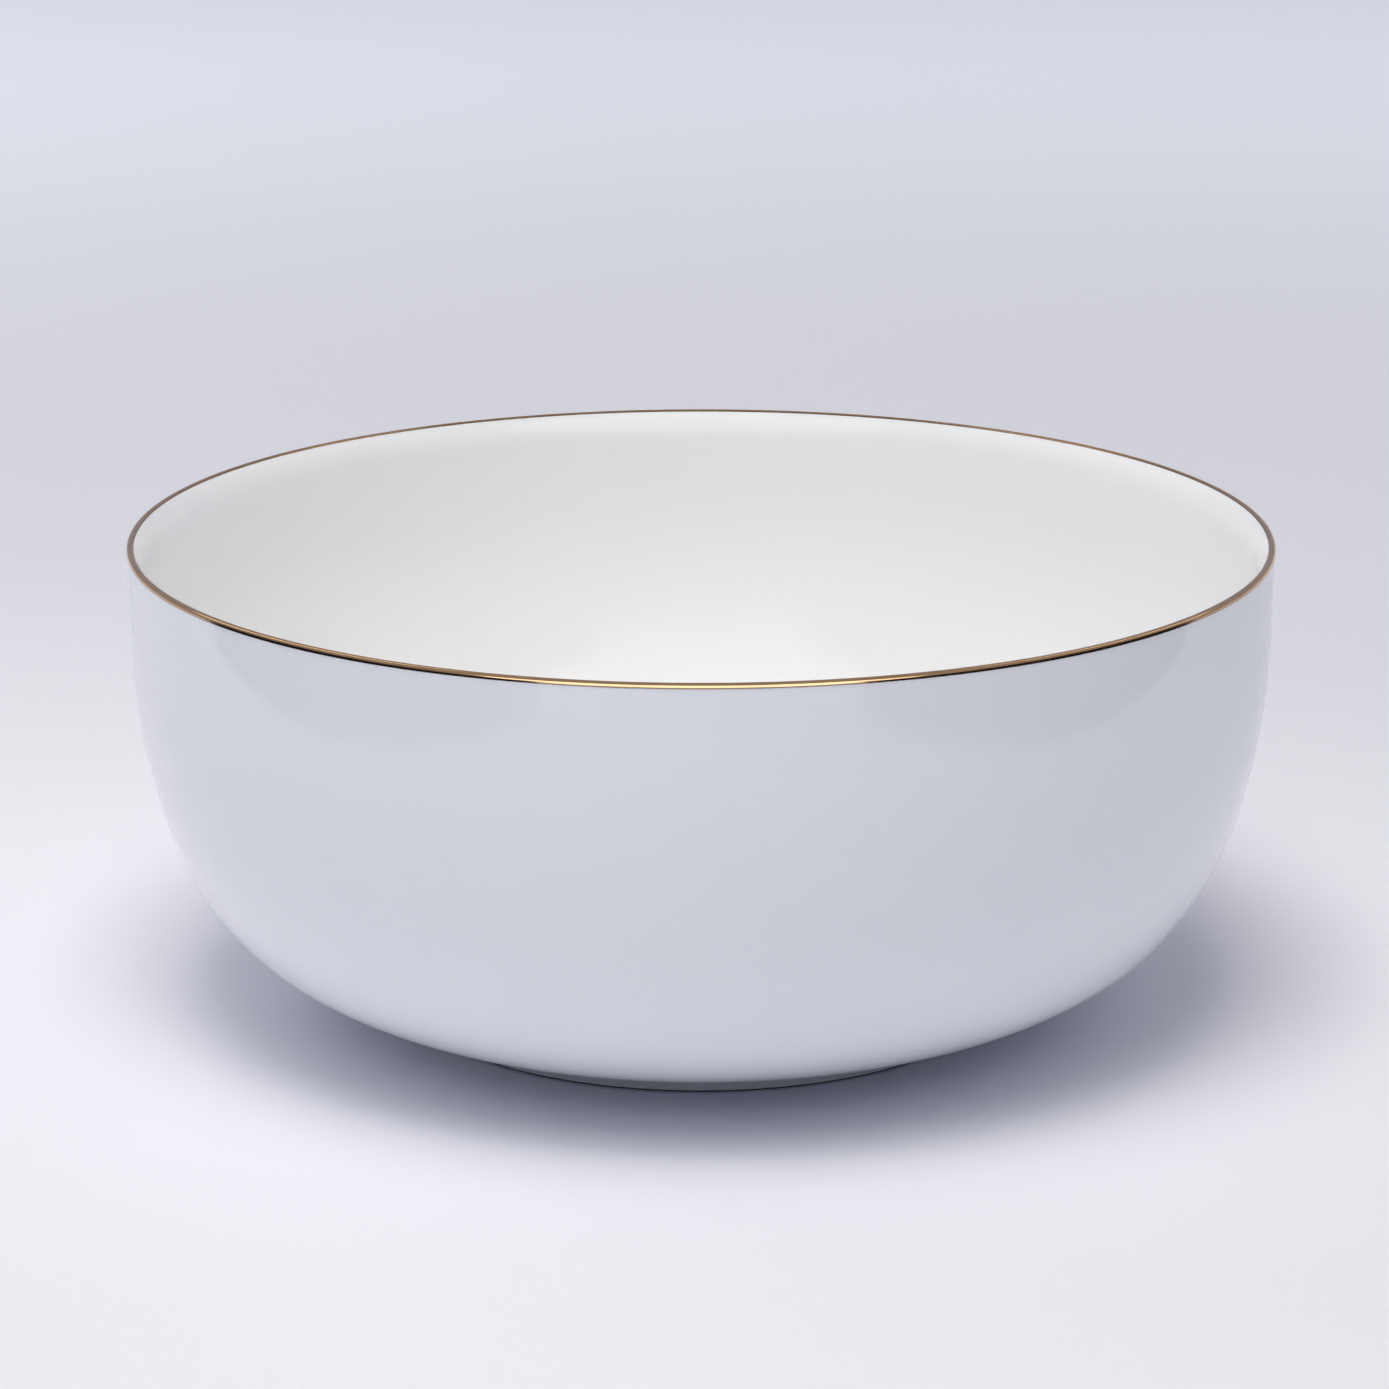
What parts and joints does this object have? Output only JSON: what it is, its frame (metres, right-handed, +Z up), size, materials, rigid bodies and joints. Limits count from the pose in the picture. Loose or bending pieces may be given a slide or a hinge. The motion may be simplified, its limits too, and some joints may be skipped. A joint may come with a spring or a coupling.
{
  "type": "serving bowl",
  "caption": "Round glossy white porcelain serving bowl with a steep wall, a full belly, a low foot ring and a fine gold band over its rounded lip.",
  "frame": {"origin": "centre of the foot ring's contact face, on the table", "axes": "+Z up along the bowl's axis of revolution; X and Y are level, and the bowl looks the same from every side"},
  "size_m": [0.24, 0.24, 0.1016],
  "materials": {
    "porcelain": "fired hard porcelain under the glaze",
    "bare_porcelain": "unglazed ground contact face, satin",
    "inside_glaze": "smooth clear gloss over white",
    "outside_glaze": "smooth clear gloss over white",
    "base_glaze": "smooth clear gloss over white",
    "rim_gold": "thin fired bright gold, burnished"
  },
  "bodies": {
    "root": {"porcelain_body": "porcelain", "foot_ring": "bare_porcelain", "inner_glaze": "inside_glaze", "outer_glaze": "outside_glaze", "base_glaze": "base_glaze", "rim_gold_band": "rim_gold"}
  },
  "joints": []
}
